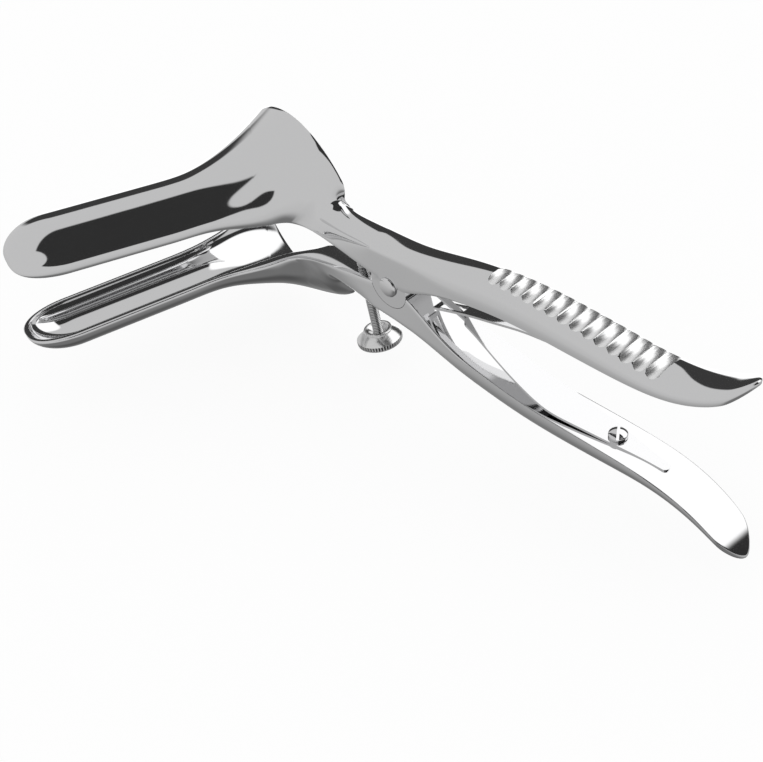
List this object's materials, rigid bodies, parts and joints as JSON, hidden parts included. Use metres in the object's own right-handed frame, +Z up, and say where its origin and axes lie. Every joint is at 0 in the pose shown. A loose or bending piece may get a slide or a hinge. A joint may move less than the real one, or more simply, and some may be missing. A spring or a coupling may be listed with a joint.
{
  "type": "bivalve speculum",
  "caption": "Bivalve speculum: two mirrored trough blades flaring into a funnel, box joint with pivot screw, spring handles with leaf springs, and a thumb screw that holds the blades open.",
  "frame": {"origin": "on the pivot axis, in the flat far side of the joint", "axes": "+X from the blades to the handle ends, +Y across the joint away from the blade tips, +Z up from the lower half to the upper half"},
  "size_m": [0.2245, 0.0966, 0.0672],
  "materials": {
    "polished_steel": "mirror polished stainless steel",
    "pivot_steel": "polished stainless steel screw head",
    "spring_steel": "polished spring steel strip",
    "screw_steel": "polished stainless steel, slotted",
    "thumb_screw_steel": "satin turned and knurled stainless steel"
  },
  "bodies": {
    "lower_half": {"lower_half": "polished_steel", "pivot_screw": "pivot_steel", "lower_leaf_spring": "spring_steel", "lower_spring_screw": "screw_steel"},
    "upper_half": {"upper_half": "polished_steel", "upper_leaf_spring": "spring_steel", "upper_spring_screw": "screw_steel"},
    "thumb_screw_rod": {"thumb_screw_rod": "thumb_screw_steel"},
    "thumb_screw_knob": {"thumb_screw_knob": "thumb_screw_steel"}
  },
  "joints": [
    {"name": "blade_pivot", "type": "hinge", "parent": "lower_half", "child": "upper_half", "pos_m": [0, -0.0054, 0], "axis": [0, 1, 0], "range_deg": [-19, 15], "stiffness_Nm_per_rad": 2, "deforming": ["upper_leaf_spring", "lower_leaf_spring"]},
    {"name": "thumb_screw_travel", "type": "slide", "parent": "lower_half", "child": "thumb_screw_rod", "axis": [-0.165, 0, 0.9863], "range_m": [-0.0065, 0.0052]},
    {"name": "thumb_screw_turn", "type": "hinge", "parent": "thumb_screw_rod", "child": "thumb_screw_knob", "pos_m": [-0.01244, -0.0054, -0.02986], "axis": [-0.165, 0, 0.9863], "range_deg": [-3900, 3100]}
  ],
  "couplings": [
    {"joint": "thumb_screw_travel", "follows": "blade_pivot", "m_per_rad": 0.01871},
    {"joint": "thumb_screw_turn", "follows": "blade_pivot", "ratio": 195.93}
  ]
}
